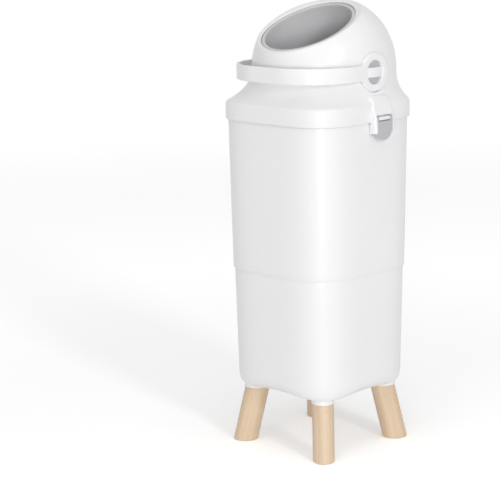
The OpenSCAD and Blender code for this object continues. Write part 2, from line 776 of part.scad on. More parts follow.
// Outline of the grey lever in the YZ plane: straight sides and a half round foot
module lever_outline() {
    r = lever_w / 2;
    translate([0, lever_bottom_z + r]) intersection() {
        circle(r);
        translate([-r, -r]) square([lever_w, r + 0.1]);
    }
    translate([-r, lever_bottom_z + r]) square([lever_w, lever_top_z - lever_bottom_z - r]);
}

// One arm of the lever, up from its plate to the pin, s = 1 at the back
module lever_arm_at(s) {
    y0 = latch_y + s * (lever_w - lever_arm) / 2 - lever_arm / 2;
    disc_y(lever_knuckle_r, y0, y0 + lever_arm, lever_pin_x, lever_pin_z);
    translate([lever_face - lever_t, y0, lever_top_z - 1])
        cube([lever_t, lever_arm, lever_pin_z - lever_top_z + 1]);
}

// Nose on the lever's back that stands under the sleeve's ledge
module lever_nose() {
    w = 20;
    tip_x = sleeve_w_top / 2 + ledge_reach + gap;
    translate([0, latch_y + w / 2, 0]) rotate([90, 0, 0]) linear_extrude(w) polygon([
        [tip_x, nose_z], [lever_face - 1, nose_z - 6], [lever_face - 1, nose_z + 4], [tip_x, nose_z + 3.5]]);
}

module latch_lever() {
    color(GREY) placed() difference() {
        union() {
            translate([lever_face - lever_t, latch_y, 0]) rotate([90, 0, 90])
                linear_extrude(lever_t) lever_outline();
            for (s = [-1, 1]) lever_arm_at(s);
            lever_nose();
        }
        disc_y(latch_pin_d / 2 + fit, latch_y - lever_w, latch_y + lever_w, lever_pin_x, lever_pin_z);
    }
}

module latch_pin() {
    l = window_w + 8;
    color(STEEL) placed()
        disc_y(latch_pin_d / 2, latch_y - l / 2, latch_y + l / 2, lever_pin_x, lever_pin_z);
}

lower_bucket();
upper_sleeve();
leg(-1, -1);  // leg_front_left
leg(1, -1);  // leg_front_right
leg(-1, 1);  // leg_back_left
leg(1, 1);  // leg_back_right
leg_bolts();
hinge_pin();
lid_housing();
lid_base();
lid_screws();
rim_gasket();
throat_seal();
opening_seal();
drum_half(1);  // drum_upper_half
drum_half(-1);  // drum_lower_half
drum_screws();
drum_tube();
tube_rim(1);  // tube_rim_a
tube_rim(-1);  // tube_rim_b
axle(-1);  // axle_left
axle(1);  // axle_right
handle();
piston();
piston_weight();
piston_cover();
piston_ring();
latch_lever();
latch_pin();
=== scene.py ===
"""Nappy bin on four wooden legs. One section for each piece or group of like pieces, in the order that the bin is put
together: the studio, then legs, body, lid, drum, handle, piston and latch. Piece sizes are in millimetres."""

import bpy
import bmesh
import numpy as np
from mathutils import Matrix


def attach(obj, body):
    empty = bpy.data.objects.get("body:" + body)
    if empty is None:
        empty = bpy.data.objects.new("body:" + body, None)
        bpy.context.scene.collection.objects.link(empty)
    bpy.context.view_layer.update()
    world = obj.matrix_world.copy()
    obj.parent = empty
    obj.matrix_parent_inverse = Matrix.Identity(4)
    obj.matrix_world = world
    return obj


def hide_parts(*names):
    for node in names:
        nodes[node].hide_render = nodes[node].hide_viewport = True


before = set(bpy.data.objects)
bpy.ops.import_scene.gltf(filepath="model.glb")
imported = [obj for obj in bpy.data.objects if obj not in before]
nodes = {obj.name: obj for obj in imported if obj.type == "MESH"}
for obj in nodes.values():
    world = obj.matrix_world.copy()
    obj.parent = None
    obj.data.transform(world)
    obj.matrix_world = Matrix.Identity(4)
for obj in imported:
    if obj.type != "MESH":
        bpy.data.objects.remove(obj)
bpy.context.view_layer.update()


# ---- Studio: camera ----
# A long lens a little above the lid, looking down on the bin from its front right corner.
body_y = -3.0
lens_mm = 121.72
camera_reach = 2933.32
camera_height = 961.01
camera_round = np.radians(42.55)
camera_turn = np.radians(2.38)
camera_dip = np.radians(11.81)
camera_roll = np.radians(-0.97)

heading = camera_round + camera_turn
level = np.array([-np.sin(heading), np.cos(heading), 0.0])
right = np.array([np.cos(heading), np.sin(heading), 0.0])
up = np.array([0.0, 0.0, 1.0])
ahead = level * np.cos(camera_dip) - up * np.sin(camera_dip)
above = up * np.cos(camera_dip) + level * np.sin(camera_dip)
rolled_right = right * np.cos(camera_roll) + above * np.sin(camera_roll)
rolled_above = above * np.cos(camera_roll) - right * np.sin(camera_roll)
stand = np.array([np.sin(camera_round) * camera_reach, body_y - np.cos(camera_round) * camera_reach, camera_height])

camera = bpy.data.objects.new("camera", bpy.data.cameras.new("camera"))
camera.data.sensor_width = 36.0
camera.data.lens = lens_mm
camera.data.clip_end = 200.0
turned_axes = np.stack([rolled_right, rolled_above, -ahead], axis=1)
camera.matrix_world = Matrix.Translation(stand / 1000) @ Matrix(turned_axes.tolist()).to_4x4()
bpy.context.scene.collection.objects.link(camera)
bpy.context.scene.camera = camera
bpy.context.scene.view_settings.view_transform = "Standard"


# ---- Studio: lamps ----
# A low box beside the camera lights the front and the inside of the tube, and a small one on the right throws the
# long soft shadow. Two broad ones hang on the left and overhead, and an even white room fills in.
def soft_box(name, round_deg, lift_deg, reach, size, power):
    """Square lamp at an angle from +X and an angle above the floor, aimed at the middle of the bin."""
    turn = np.radians(round_deg)
    lift = np.radians(lift_deg)
    away = np.array([np.cos(turn) * np.cos(lift), np.sin(turn) * np.cos(lift), np.sin(lift)])
    lamp = bpy.data.objects.new(name, bpy.data.lights.new(name, "AREA"))
    lamp.data.shape = "SQUARE"
    lamp.data.size = size
    lamp.data.energy = power
    place = np.array([0.0, 0.0, 0.42]) + away * reach
    side = np.cross(up, away)
    side /= np.linalg.norm(side)
    axes = np.stack([side, np.cross(away, side), away], axis=1)
    lamp.matrix_world = Matrix.Translation(place) @ Matrix(axes.tolist()).to_4x4()
    bpy.context.scene.collection.objects.link(lamp)


soft_box("front_box", -49, 1, 6.5, 1.1, 128)
soft_box("right_box", -17, 22, 6.5, 0.9, 68)
soft_box("left_box", -74, 34, 6.5, 3.25, 22)
soft_box("top_box", -45, 75, 5.0, 3.0, 32)


def in_view(tree):
    """Socket that is 1 for camera, glossy and transmission rays, and 0 for the rays that light the bin."""
    ray = tree.nodes.new("ShaderNodeLightPath")
    seen = ray.outputs["Is Camera Ray"]
    for kind in ("Is Glossy Ray", "Is Transmission Ray"):
        either = tree.nodes.new("ShaderNodeMath")
        either.operation = "MAXIMUM"
        tree.links.new(seen, either.inputs[0])
        tree.links.new(ray.outputs[kind], either.inputs[1])
        seen = either.outputs["Value"]
    return seen


world = bpy.data.worlds.new("white_room")
bpy.context.scene.world = world
world.use_nodes = True
room = world.node_tree
fill_level = 0.46
room.nodes["Background"].inputs["Strength"].default_value = fill_level
room.nodes["Background"].inputs["Color"].default_value = (1, 1, 1, 1)
backdrop = room.nodes.new("ShaderNodeBackground")
backdrop.inputs["Color"].default_value = (1, 1, 1, 1)
backdrop.inputs["Strength"].default_value = 1.0
room_mix = room.nodes.new("ShaderNodeMixShader")
room.links.new(in_view(room), room_mix.inputs["Fac"])
room.links.new(room.nodes["Background"].outputs["Background"], room_mix.inputs[1])
room.links.new(backdrop.outputs["Background"], room_mix.inputs[2])
room.links.new(room_mix.outputs["Shader"], room.nodes["World Output"].inputs["Surface"])


# ---- Studio: floor ----
# White seamless paper that keeps the bin's soft shadow. To the camera and in reflections it is brighter than real
# paper and glows a little, more so away from the bin, and far behind the bin it turns to plain white.
floor_half = 40.0
floor_glow = (0.155, 0.245)
floor_shine = 1.25
floor_mesh = bpy.data.meshes.new("floor")
floor_mesh.from_pydata([(-floor_half, -floor_half, 0), (floor_half, -floor_half, 0),
                        (floor_half, floor_half, 0), (-floor_half, floor_half, 0)], [], [(0, 1, 2, 3)])
floor = bpy.data.objects.new("floor", floor_mesh)
bpy.context.scene.collection.objects.link(floor)
paper = bpy.data.materials.new("seamless_paper")
paper.use_nodes = True
paper_tree = paper.node_tree
paper_bsdf = paper_tree.nodes["Principled BSDF"]
paper_bsdf.inputs["Base Color"].default_value = (0.94, 0.94, 0.94, 1)
paper_bsdf.inputs["Roughness"].default_value = 0.9
paper_bsdf.inputs["Specular IOR Level"].default_value = 0.1
glow = paper_tree.nodes.new("ShaderNodeEmission")
lit = paper_tree.nodes.new("ShaderNodeAddShader")
bright_paper = paper_tree.nodes.new("ShaderNodeBsdfDiffuse")
bright_paper.inputs["Color"].default_value = (floor_shine, floor_shine, floor_shine, 1)
paper_tree.links.new(bright_paper.outputs["BSDF"], lit.inputs[0])
paper_tree.links.new(glow.outputs["Emission"], lit.inputs[1])
paper_place = paper_tree.nodes.new("ShaderNodeTexCoord")
paper_far = paper_tree.nodes.new("ShaderNodeVectorMath")
paper_far.operation = "LENGTH"
paper_tree.links.new(paper_place.outputs["Object"], paper_far.inputs[0])


def with_distance(near, far, low, high):
    """Eased value that goes from low to high as the distance from the bin goes from near to far, in metres."""
    rise = paper_tree.nodes.new("ShaderNodeMapRange")
    rise.interpolation_type = "SMOOTHSTEP"
    for socket, value in zip(("From Min", "From Max", "To Min", "To Max"), (near, far, low, high)):
        rise.inputs[socket].default_value = value
    paper_tree.links.new(paper_far.outputs["Value"], rise.inputs["Value"])
    return rise.outputs["Result"]


paper_tree.links.new(with_distance(0.5, 1.6, *floor_glow), glow.inputs["Strength"])
plain_white = paper_tree.nodes.new("ShaderNodeEmission")
plain_white.inputs["Strength"].default_value = 1.0
near_or_far = paper_tree.nodes.new("ShaderNodeMixShader")
paper_tree.links.new(with_distance(2.2, 4.0, 0, 1), near_or_far.inputs["Fac"])
paper_tree.links.new(lit.outputs["Shader"], near_or_far.inputs[1])
paper_tree.links.new(plain_white.outputs["Emission"], near_or_far.inputs[2])
paper_mix = paper_tree.nodes.new("ShaderNodeMixShader")
paper_tree.links.new(in_view(paper_tree), paper_mix.inputs["Fac"])
paper_tree.links.new(paper_bsdf.outputs["BSDF"], paper_mix.inputs[1])
paper_tree.links.new(near_or_far.outputs["Shader"], paper_mix.inputs[2])
paper_tree.links.new(paper_mix.outputs["Shader"], paper_tree.nodes["Material Output"].inputs["Surface"])
floor_mesh.materials.append(paper)


# ---- Legs ----
# Four splayed legs of pale lacquered beech, oval in section, with a softly rounded foot. Each is turned on its
# own hanger bolt up against a boss of the bucket.
leg_top = 99.0
leg_long = 44.0
leg_wide = 38.0
foot_reach = 135.0
leg_splay = np.radians(13.0)
beech = (0.735, 0.575, 0.415)


def loft(rings, ends):
    """Skin over a stack of closed rings, an array of rows, columns and XYZ. Each point joins the next one in its ring
    and the one above it. 'capped' closes both ends on a middle point; 'looped' joins the last ring to the first."""
    rows, columns = rings.shape[:2]
    steps = rows if ends == "looped" else rows - 1
    row, column = np.meshgrid(np.arange(steps), np.arange(columns), indexing="ij")
    beside = (column + 1) % columns
    over = (row + 1) % rows
    faces = np.stack([row * columns + column, row * columns + beside, over * columns + beside,
                      over * columns + column], axis=-1).reshape(-1, 4).tolist()
    points = rings.reshape(-1, 3)
    if ends == "capped":
        points = np.vstack([points, rings[0].mean(axis=0), rings[-1].mean(axis=0)])
        low = np.arange(columns)
        low_next = (low + 1) % columns
        top = (rows - 1) * columns
        middle = np.full(columns, rows * columns)
        faces += np.stack([middle, low_next, low], axis=1).tolist()
        faces += np.stack([middle + 1, top + low, top + low_next], axis=1).tolist()
    return points, faces


def make_piece(name, surfaces, material, sharp_deg=38):
    """One mesh object from surfaces given as (points in millimetres, faces), with outward normals, smooth shading
    and a crease where two faces meet at more than sharp_deg."""
    points = []
    faces = []
    start = 0
    for surface_points, surface_faces in surfaces:
        points.append(surface_points)
        faces += [[start + k for k in face] for face in surface_faces]
        start += len(surface_points)
    mesh = bpy.data.meshes.new(name)
    mesh.from_pydata((np.vstack(points) / 1000).tolist(), [], faces)
    shape = bmesh.new()
    shape.from_mesh(mesh)
    bmesh.ops.recalc_face_normals(shape, faces=shape.faces)
    shape.to_mesh(mesh)
    shape.free()
    mesh.polygons.foreach_set("use_smooth", [True] * len(mesh.polygons))
    mesh.set_sharp_from_angle(angle=np.radians(sharp_deg))
    mesh.materials.append(material)
    piece = bpy.data.objects.new(name, mesh)
    bpy.context.scene.collection.objects.link(piece)
    return piece


def placed(points):
    """Points drawn round the body's axis, moved to where that axis stands in the frame."""
    return points + np.array([0.0, body_y, 0.0])


def corner_axes(side_x, side_y):
    """Outward and sideways directions on the floor of the diagonal through one corner."""
    out = np.array([side_x, side_y, 0.0]) / np.sqrt(2)
    return out, np.array([-out[1], out[0], 0.0])


def leg_oval(side_x, side_y, z, grow, columns):
    """Rings of the leg's oval at heights z, its half axes grown by grow. Its middle leans outwards down the leg:
    reach = foot reach - z tan(splay)."""
    out, across = corner_axes(side_x, side_y)
    turn = np.linspace(0, 2 * np.pi, columns, endpoint=False)
    reach = foot_reach - z * np.tan(leg_splay)
    along = reach[:, None] + (leg_long / 2 + grow)[:, None] * np.cos(turn)
    aside = (leg_wide / 2 + grow)[:, None] * np.sin(turn)
    return along[..., None] * out + aside[..., None] * across + z[:, None, None] * up


wood = bpy.data.materials.new("lacquered_beech")
wood.use_nodes = True
wood_nodes = wood.node_tree.nodes
wood_link = wood.node_tree.links.new
wood_bsdf = wood_nodes["Principled BSDF"]
grain_place = wood_nodes.new("ShaderNodeAttribute")
grain_place.attribute_name = "grain"


def noise_of(tree, place, scale, detail):
    """Noise of that scale and detail, read at a place."""
    noise = tree.nodes.new("ShaderNodeTexNoise")
    noise.inputs["Scale"].default_value = scale
    noise.inputs["Detail"].default_value = detail
    tree.links.new(place, noise.inputs["Vector"])
    return noise.outputs["Fac"]


def ramp_of(tree, factor, dark, pale, low=0.3, high=0.7):
    """Colour that goes from dark to pale as the factor goes from low to high."""
    ramp = tree.nodes.new("ShaderNodeValToRGB")
    for stop, position, colour in zip(ramp.color_ramp.elements, (low, high), (dark, pale)):
        stop.position = position
        stop.color = (*colour, 1)
    tree.links.new(factor, ramp.inputs["Fac"])
    return ramp.outputs["Color"]


def range_of(tree, factor, low, high, to_low, to_high):
    """Value that goes from to_low to to_high as the factor goes from low to high."""
    spread = tree.nodes.new("ShaderNodeMapRange")
    for socket, value in zip(("From Min", "From Max", "To Min", "To Max"), (low, high, to_low, to_high)):
        spread.inputs[socket].default_value = value
    tree.links.new(factor, spread.inputs["Value"])
    return spread.outputs["Result"]


def relief_of(tree, height, strength, distance):
    """Bump node that raises the surface by that distance in metres, times the height."""
    relief = tree.nodes.new("ShaderNodeBump")
    relief.inputs["Strength"].default_value = strength
    relief.inputs["Distance"].default_value = distance
    tree.links.new(height, relief.inputs["Height"])
    return relief


def wood_noise(stretch, scale, detail):
    """Noise drawn out along the leg: the leg's own coordinates times stretch, then a noise of that scale."""
    mapping = wood_nodes.new("ShaderNodeMapping")
    mapping.inputs["Scale"].default_value = stretch
    wood_link(grain_place.outputs["Vector"], mapping.inputs["Vector"])
    return noise_of(wood.node_tree, mapping.outputs["Vector"], scale, detail)


def wood_ramp(factor, dark, pale, low, high):
    """The wood's own colour ramp."""
    return ramp_of(wood.node_tree, factor, dark, pale, low, high)


def wood_times(first, second):
    """Product of two colours."""
    product = wood_nodes.new("ShaderNodeMix")
    product.data_type = "RGBA"
    product.blend_type = "MULTIPLY"
    product.inputs["Factor"].default_value = 1.0
    wood_link(first, product.inputs["A"])
    wood_link(second, product.inputs["B"])
    return product.outputs["Result"]


growth = wood_ramp(wood_noise((1, 0.45, 0.035), 160, 3), (0.94, 0.915, 0.88), (1.02, 1.02, 1.01), 0.36, 0.66)
fibre = wood_ramp(wood_noise((1, 1, 0.02), 900, 2), (0.96, 0.95, 0.93), (1.01, 1.01, 1.01), 0.35, 0.6)
flecks = wood_ramp(wood_noise((1, 1, 0.12), 700, 1), (0.86, 0.80, 0.73), (1, 1, 1), 0.24, 0.31)
base_tone = wood_ramp(wood_noise((1, 1, 0.2), 12, 2), tuple(0.95 * c for c in beech), tuple(1.04 * c for c in beech),
                      0.35, 0.65)
wood_link(wood_times(wood_times(wood_times(base_tone, growth), fibre), flecks), wood_bsdf.inputs["Base Color"])
wood_link(range_of(wood.node_tree, wood_noise((1, 1, 0.05), 500, 2), 0, 1, 0.42, 0.56), wood_bsdf.inputs["Roughness"])
wood_bump = relief_of(wood.node_tree, wood_noise((1, 1, 0.03), 1100, 2), 0.25, 0.0003)
wood_link(wood_bump.outputs["Normal"], wood_bsdf.inputs["Normal"])

leg_columns = 96
foot_turn = np.radians(np.linspace(0, 90, 9))
leg_z = np.concatenate([3 - 3 * np.cos(foot_turn), np.linspace(8, leg_top - 2, 24),
                        leg_top - 1 + np.sin(foot_turn)[1:]])
leg_grow = np.concatenate([3 * np.sin(foot_turn) - 3, np.zeros(24), np.cos(foot_turn)[1:] - 1])
for leg_number, (leg_name, side_x, side_y) in enumerate([
        ("leg_front_left", -1, -1), ("leg_front_right", 1, -1), ("leg_back_left", -1, 1), ("leg_back_right", 1, 1)]):
    leg_rings = leg_oval(side_x, side_y, leg_z, leg_grow, leg_columns)
    leg_points, leg_faces = loft(placed(leg_rings), "capped")
    leg = make_piece(f"{leg_name}_beech", [(leg_points, leg_faces)], wood)
    out, across = corner_axes(side_x, side_y)
    from_axis = leg_points - placed(np.zeros(3))
    grain = np.stack([from_axis @ out + from_axis[:, 2] * np.tan(leg_splay), from_axis @ across,
                      from_axis[:, 2]], axis=1) / 1000 + 0.37 * leg_number
    leg.data.attributes.new("grain", "FLOAT_VECTOR", "POINT").data.foreach_set("vector", grain.ravel())
    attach(leg, "bin")
    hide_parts(leg_name)


# ---- Steel fittings ----
# Hanger bolts, screws, the hinge pin and the latch pin are zinc plated steel; they are bought in and pressed or driven
# home.
def speckled(name, colour, rough, metal, scale, spread, bump):
    """Plain finish with life in it: noise of that scale moves the colour by spread and the roughness by a fifth, and
    raises the surface by bump metres."""
    material = bpy.data.materials.new(name)
    material.use_nodes = True
    tree = material.node_tree
    bsdf = tree.nodes["Principled BSDF"]
    bsdf.inputs["Metallic"].default_value = metal
    place = tree.nodes.new("ShaderNodeTexCoord").outputs["Object"]
    factor = noise_of(tree, place, scale, 4)
    dark = [c * (1 - spread) for c in colour]
    pale = [min(c * (1 + spread), 1) for c in colour]
    tree.links.new(ramp_of(tree, factor, dark, pale), bsdf.inputs["Base Color"])
    tree.links.new(range_of(tree, factor, 0.3, 0.7, rough * 0.8, rough * 1.2), bsdf.inputs["Roughness"])
    relief = relief_of(tree, noise_of(tree, place, scale * 6, 3), 0.4, bump)
    tree.links.new(relief.outputs["Normal"], bsdf.inputs["Normal"])
    return material


def finish_node(node, material):
    """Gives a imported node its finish."""
    nodes[node].data.materials.clear()
    nodes[node].data.materials.append(material)


zinc = speckled("zinc_plate", (0.62, 0.63, 0.65), 0.32, 1.0, 220, 0.06, 0.00002)
for fitting in ("leg_bolts", "hinge_pin", "lid_screws", "drum_screws", "latch_pin"):
    finish_node(fitting, zinc)


# ---- Lower bucket ----
# Deep square bucket moulded in glossy white plastic, with a round-edged base, four oval bosses for the legs and a
# thinner spigot at the top that pushes up into the sleeve.
base_z = 109.0
corner_keep = 0.65
base_round = 24.0
bucket_half = 121.5
bucket_top_half = 124.3
bucket_wall = 3.0
bucket_power = 4.0
seam_z = 320.0
spigot_h = 25.0
spigot_half = 122.6
body_columns = 256
plastic_white = (0.87, 0.87, 0.88)


def squircle(half, power, turn):
    """Square with round corners: distance from the middle is half / (|cos|^power + |sin|^power)^(1/power)."""
    return half / (np.abs(np.cos(turn)) ** power + np.abs(np.sin(turn)) ** power) ** (1 / power)


def level_rings(half, power, z, columns=body_columns):
    """One level ring for each half width, squareness and height, in a stack."""
    half, power, z = (np.atleast_1d(v).astype(float)[:, None] for v in np.broadcast_arrays(half, power, z))
    turn = np.linspace(0, 2 * np.pi, columns, endpoint=False)[None, :]
    reach = squircle(half, power, turn)
    return np.stack([reach * np.cos(turn), reach * np.sin(turn), z + 0 * turn], axis=-1)


def between(first, last, steps):
    """Straight run of (half width, squareness, height) rows from first to last."""
    share = np.linspace(0, 1, steps)[:, None]
    return np.array(first) * (1 - share) + np.array(last) * share


def base_inset(radius, turn, rise):
    """How far the rounded edge of the base comes in: r (1 - cos(rise)), less at the corners, where it is multiplied by
    1 - keep sin(2 turn)^2."""
    return radius * (1 - np.cos(rise)) * (1 - corner_keep * np.sin(2 * turn) ** 2)


def base_rings(half, radius, z, rise_deg):
    """Rings of the rounded edge of the base, at height z + r (1 - sin(rise))."""
    rise = np.radians(rise_deg)[:, None]
    turn = np.linspace(0, 2 * np.pi, body_columns, endpoint=False)[None, :]
    reach = squircle(half, bucket_power, turn) - base_inset(radius, turn, rise)
    return np.stack([reach * np.cos(turn), reach * np.sin(turn), z + radius * (1 - np.sin(rise)) + 0 * turn], axis=-1)


def base_height(x, y):
    """Height of the bucket's underside at a place in plan: the rise of the rounded edge is found by halving."""
    turn = np.arctan2(y, x)
    reach = np.hypot(x, y)
    low = np.zeros_like(reach)
    high = np.full_like(reach, np.pi / 2)
    for _ in range(30):
        middle = (low + high) / 2
        outside = squircle(bucket_half, bucket_power, turn) - base_inset(base_round, turn, middle) > reach
        low = np.where(outside, middle, low)
        high = np.where(outside, high, middle)
    return base_z + base_round * (1 - np.sin(low))


def leg_boss(side_x, side_y):
    """Boss that a leg seats on: from the underside a soft fillet turns down into the oval wall, then a rounded
    edge closes it. Each fillet row is a curve b(t) = (1-t)^2 A + 2 t (1-t) B + t^2 C in the wall's plane."""
    columns = 96
    fillet = 5.0
    grow = 1.0
    out, across = corner_axes(side_x, side_y)

    def oval(extra, z):
        """One ring of the leg's oval at height z, its half axes grown by extra as well."""
        return leg_oval(side_x, side_y, np.array([z]), np.array([grow + extra]), columns)[0]

    foot = oval(fillet, base_z)
    foot[:, 2] = base_height(foot[:, 0], foot[:, 1])
    wall = oval(0.0, base_z)
    lean = -np.tan(leg_splay)
    wall[:, 2] = base_height(wall[:, 0], wall[:, 1])
    wall += (wall[:, 2:3] - base_z) * lean * out
    drop = np.minimum(fillet, wall[:, 2] - leg_top - 1.2)[:, None]
    ledge = wall - drop * up - drop * lean * out
    share = np.linspace(0, 1, 9)[:, None, None]
    rows = (1 - share) ** 2 * foot + 2 * share * (1 - share) * wall + share ** 2 * ledge
    edge = np.radians(np.linspace(0, 90, 5))
    rim = [leg_oval(side_x, side_y, np.array([leg_top + 1 - np.sin(t)]), np.array([grow - 1 + np.cos(t)]), columns)[0]
           for t in edge]
    inside = foot + np.array([0, 0, 1.5])
    return loft(placed(np.concatenate([inside[None], rows, np.array(rim)])), "capped")


def satin_plastic(name, colour, rough, tone_spread=0.005):
    """Moulded plastic: the tone and gloss drift a little over the part, and the surface has a fine eggshell relief
    with slow waves left by the mould."""
    material = bpy.data.materials.new(name)
    material.use_nodes = True
    tree = material.node_tree
    bsdf = tree.nodes["Principled BSDF"]
    bsdf.inputs["IOR"].default_value = 1.49
    place = tree.nodes.new("ShaderNodeTexCoord").outputs["Object"]
    dark = [c * (1 - tone_spread) for c in colour]
    pale = [c * (1 + tone_spread) for c in colour]
    tree.links.new(ramp_of(tree, noise_of(tree, place, 7, 2), dark, pale), bsdf.inputs["Base Color"])
    gloss = range_of(tree, noise_of(tree, place, 30, 3), 0.3, 0.7, rough * 0.95, rough * 1.05)
    tree.links.new(gloss, bsdf.inputs["Roughness"])
    eggshell = relief_of(tree, noise_of(tree, place, 1400, 2), 0.03, 0.0001)
    waves = relief_of(tree, noise_of(tree, place, 14, 1), 0.05, 0.0006)
    tree.links.new(eggshell.outputs["Normal"], waves.inputs["Normal"])
    tree.links.new(waves.outputs["Normal"], bsdf.inputs["Normal"])
    return material


white_plastic = satin_plastic("white_plastic", plastic_white, 0.3)
seam_power = bucket_power + 0.15
inner_half = spigot_half - bucket_wall
bucket_rows = np.concatenate([
    between((bucket_half, bucket_power, base_z + base_round), (bucket_top_half, seam_power, seam_z - 1), 24),
    [[bucket_top_half - 0.1, seam_power, seam_z - 0.5], [bucket_top_half - 0.5, seam_power, seam_z],
     [spigot_half + 0.2, seam_power, seam_z], [spigot_half, seam_power, seam_z + 0.3]],
    between((spigot_half, seam_power, seam_z + 1), (spigot_half, seam_power, seam_z + spigot_h - 1.5), 4),
    [[spigot_half - 0.3, seam_power, seam_z + spigot_h - 0.4], [spigot_half - 1, seam_power, seam_z + spigot_h],
     [inner_half + 0.3, seam_power, seam_z + spigot_h], [inner_half, seam_power, seam_z + spigot_h - 0.4]],
    between((inner_half, seam_power, seam_z + spigot_h - 1), (inner_half, seam_power, seam_z - 8), 4),
    between((bucket_top_half - bucket_wall, seam_power, seam_z - 14),
            (bucket_half - bucket_wall, bucket_power, base_z + base_round), 16)])
bucket_rings = np.concatenate([
    base_rings(bucket_half, base_round, base_z, np.linspace(90, 2, 20)), level_rings(*bucket_rows.T),
    base_rings(bucket_half - bucket_wall, base_round - bucket_wall, base_z + bucket_wall, np.linspace(2, 90, 14))])
bucket_surfaces = [loft(placed(bucket_rings), "capped")]
for side_x in (-1, 1):
    for side_y in (-1, 1):
        bucket_surfaces.append(leg_boss(side_x, side_y))
bucket = make_piece("lower_bucket_shell", bucket_surfaces, white_plastic)
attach(bucket, "bin")
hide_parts("lower_bucket")


# ---- Upper sleeve ----
# Open-ended square sleeve in the same white plastic. It laps over the bucket at the seam, and steps in at the top
# to a neck that the lid's collar drops over. A catch ledge and two hinge knuckles are moulded on its two sides.
sleeve_half = 126.0
sleeve_top_half = 129.0
sleeve_power = 4.4
sleeve_foot_power = 4.2
sleeve_wall = 2.8
collar_z = 584.0
step_z = 588.0
neck_half = 127.1
neck_wall = 3.0
neck_top_z = 598.0
hinge_x = -138.5
hinge_z = 580.0
hinge_r = 5.5
knuckle_w = 36.0
knuckle_gap = 0.4
body_knuckle_w = 12.0
catch_z = 571.0
catch_h = 2.5
catch_out = 4.0


def prism(outline, low, high, axis, edge):
    """Solid between low and high along an axis, from a closed outline in the other two axes, with its two ends drawn
    in by the edge width along the outline's inward normals so that they look softened."""
    outline = np.array(outline, dtype=float)
    ahead_of = np.roll(outline, -1, axis=0) - outline
    ahead_of /= np.linalg.norm(ahead_of, axis=1)[:, None]
    behind = np.roll(ahead_of, 1, axis=0)
    bisector = np.stack([-(ahead_of + behind)[:, 1], (ahead_of + behind)[:, 0]], axis=1)
    bisector /= np.maximum((bisector ** 2).sum(axis=1), 0.5)[:, None] / 2
    area = (outline[:, 0] * np.roll(outline[:, 1], -1) - np.roll(outline[:, 0], -1) * outline[:, 1]).sum()
    inward = bisector * np.sign(area)
    turn = np.radians([90, 60, 30, 0])
    rows = [(low + edge * (1 - np.sin(t)), edge * (1 - np.cos(t))) for t in turn]
    rows += [(high - edge * (1 - np.sin(t)), edge * (1 - np.cos(t))) for t in turn[::-1]]
    rings = np.zeros((len(rows), len(outline), 3))
    others = [k for k in range(3) if k != axis]
    for row, (place, inset) in enumerate(rows):
        rings[row][:, others] = outline + inward * inset
        rings[row][:, axis] = place
    return loft(rings, "capped")


def round_outline(points, radius, steps=6):
    """Closed outline with each corner replaced by a curve b(t) = (1-t)^2 A + 2 t (1-t) B + t^2 C, where A and C lie
    radius away from the corner B, or a third of the way along a short side."""
    points = np.array(points, dtype=float)
    before = np.roll(points, 1, axis=0) - points
    after = np.roll(points, -1, axis=0) - points
    size_before = np.linalg.norm(before, axis=1)[:, None]
    size_after = np.linalg.norm(after, axis=1)[:, None]
    start = points + before * np.minimum(radius / size_before, 0.34)
    end = points + after * np.minimum(radius / size_after, 0.34)
    share = np.linspace(0, 1, steps)[None, :, None]
    curve = (1 - share) ** 2 * start[:, None] + 2 * share * (1 - share) * points[:, None] + share ** 2 * end[:, None]
    return curve.reshape(-1, 2)


def circle_outline(middle, radius, steps=48):
    """Closed circle as outline points."""
    turn = np.linspace(0, 2 * np.pi, steps, endpoint=False)
    return np.array(middle) + radius * np.stack([np.cos(turn), np.sin(turn)], axis=1)


def offset_y(surface):
    """A surface drawn round the body's axis, moved to its place in the frame."""
    return placed(surface[0]), surface[1]


sleeve_rows = np.concatenate([
    [[sleeve_half - 0.8, sleeve_foot_power, seam_z], [sleeve_half - 0.25, sleeve_foot_power, seam_z + 0.25]],
    between((sleeve_half, sleeve_foot_power, seam_z + 0.8), (sleeve_top_half, sleeve_power, step_z - 0.6), 30),
    [[sleeve_top_half - 0.2, sleeve_power, step_z - 0.2], [sleeve_top_half - 0.6, sleeve_power, step_z],
     [neck_half + 0.4, sleeve_power, step_z + 0.6], [neck_half, sleeve_power, step_z + 1.5]],
    between((neck_half, sleeve_power, step_z + 2.5), (neck_half, sleeve_power, neck_top_z - 0.8), 4),
    [[neck_half - 0.25, sleeve_power, neck_top_z - 0.25], [neck_half - 0.8, sleeve_power, neck_top_z],
     [neck_half - neck_wall + 0.6, sleeve_power, neck_top_z],
     [neck_half - neck_wall, sleeve_power, neck_top_z - 0.6]],
    between((neck_half - neck_wall, sleeve_power, neck_top_z - 2),
            (neck_half - neck_wall, sleeve_power, step_z - 6), 4),
    between((sleeve_top_half - sleeve_wall, sleeve_power, step_z - 10),
            (sleeve_half - sleeve_wall, sleeve_foot_power, seam_z), 24)])
sleeve_surfaces = [loft(level_rings(*sleeve_rows.T), "looped")]
catch = [(sleeve_top_half - 2, catch_z), (sleeve_top_half + catch_out, catch_z),
         (sleeve_top_half + catch_out, catch_z + catch_h), (sleeve_top_half - 2, catch_z + catch_h)]
sleeve_surfaces.append(prism(round_outline(catch, 0.6, 4), 2, 24, 1, 0.6))
